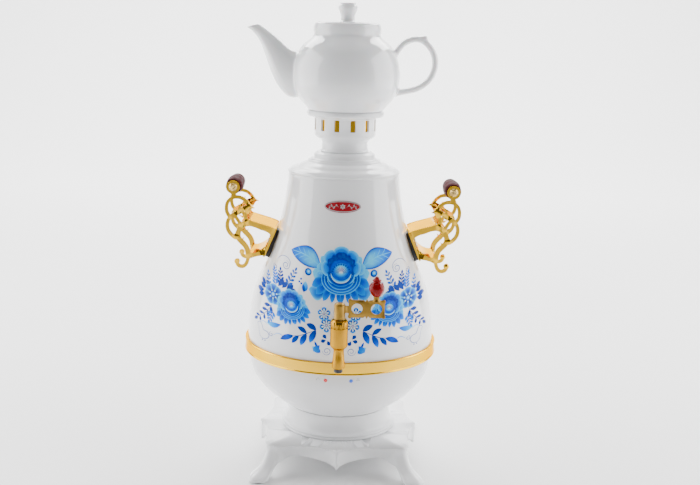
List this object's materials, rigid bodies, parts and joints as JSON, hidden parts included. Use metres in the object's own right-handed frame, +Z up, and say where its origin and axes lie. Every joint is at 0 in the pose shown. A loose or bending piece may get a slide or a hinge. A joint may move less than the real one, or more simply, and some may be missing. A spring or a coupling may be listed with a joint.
{
  "type": "electric samovar with teapot",
  "caption": "Electric samovar: pear-shaped white body with blue floral decoration, gold band, scroll side handles, turning tap, and a white porcelain teapot on a pierced crown.",
  "frame": {"origin": "on the table, at the centre of the base, on the turning axis of the body", "axes": "+Z up along the body's axis, -Y towards the tap, +X to the right of a person facing the tap"},
  "size_m": [0.2562, 0.255, 0.5061],
  "materials": {
    "white_plastic": "gloss",
    "dark_plastic": "matte",
    "rubber": "matte",
    "steel": "satin",
    "red_lens": "gloss",
    "blue_lens": "gloss",
    "circuit_board": "satin",
    "gold": "polished",
    "white_enamel": "gloss",
    "stainless": "satin",
    "silicone": "satin",
    "cast_aluminium": "satin",
    "pin_brass": "polished",
    "red_badge": "gloss",
    "bronze_gold": "polished",
    "matte_gold": "satin",
    "red_knob": "gloss",
    "maroon_grip": "gloss",
    "porcelain": "gloss"
  },
  "bodies": {
    "stand": {"base_stand": "white_plastic", "foot_pads": "rubber", "pedestal": "white_plastic", "bottom_cover": "dark_plastic", "base_screws": "steel", "lower_bowl": "white_plastic", "power_lamp": "red_lens", "warm_lamp": "blue_lens", "lamp_board": "circuit_board", "gold_band": "gold", "body_shell": "white_enamel", "inner_tank": "stainless", "tank_seal": "silicone", "heater_plate": "cast_aluminium", "heater_element": "steel", "thermostat": "dark_plastic", "thermal_fuse": "steel", "power_inlet": "dark_plastic", "inlet_pins": "pin_brass", "switch_frame": "dark_plastic", "badge": "red_badge", "tap_body": "bronze_gold", "tap_sleeve": "dark_plastic", "tap_bonnet": "bronze_gold", "tap_flange": "bronze_gold", "tap_gasket": "rubber", "tap_nut": "pin_brass", "left_handle_bracket": "gold", "left_handle_gasket": "rubber", "left_front_plate": "gold", "left_back_plate": "gold", "left_grip": "maroon_grip", "left_grip_bolt": "pin_brass", "left_bracket_screws": "steel", "right_handle_bracket": "gold", "right_handle_gasket": "rubber", "right_front_plate": "gold", "right_back_plate": "gold", "right_grip": "maroon_grip", "right_grip_bolt": "pin_brass", "right_bracket_screws": "steel"},
    "tap_key": {"tap_plug": "pin_brass", "tap_lever": "matte_gold", "tap_knob": "red_knob"},
    "rocker": {"switch_rocker": "dark_plastic"},
    "lid": {"samovar_lid": "white_plastic", "lid_seal": "silicone"},
    "crown_ring": {"crown": "white_plastic", "crown_liner": "gold"},
    "teapot": {"teapot_body": "porcelain"},
    "teapot_cover": {"teapot_lid": "porcelain"}
  },
  "joints": [
    {"name": "tap_turn", "type": "hinge", "parent": "stand", "child": "tap_key", "pos_m": [0, -0.14, 0.2], "axis": [0, 0, -1], "range_deg": [0, 90]},
    {"name": "switch_press", "type": "hinge", "parent": "stand", "child": "rocker", "pos_m": [0.019, 0.095, 0.087], "axis": [-1, 0, 0], "range_deg": [0, 16]},
    {"name": "lid_lift", "type": "slide", "parent": "stand", "child": "lid", "axis": [0, 0, 1], "range_m": [0, 0.03]},
    {"name": "crown_lift", "type": "slide", "parent": "lid", "child": "crown_ring", "axis": [0, 0, 1], "range_m": [0, 0.03]},
    {"name": "teapot_lift", "type": "slide", "parent": "crown_ring", "child": "teapot", "axis": [0, 0, 1], "range_m": [0, 0.04]},
    {"name": "cover_lift", "type": "slide", "parent": "teapot", "child": "teapot_cover", "axis": [0, 0, 1], "range_m": [0, 0.035]}
  ]
}
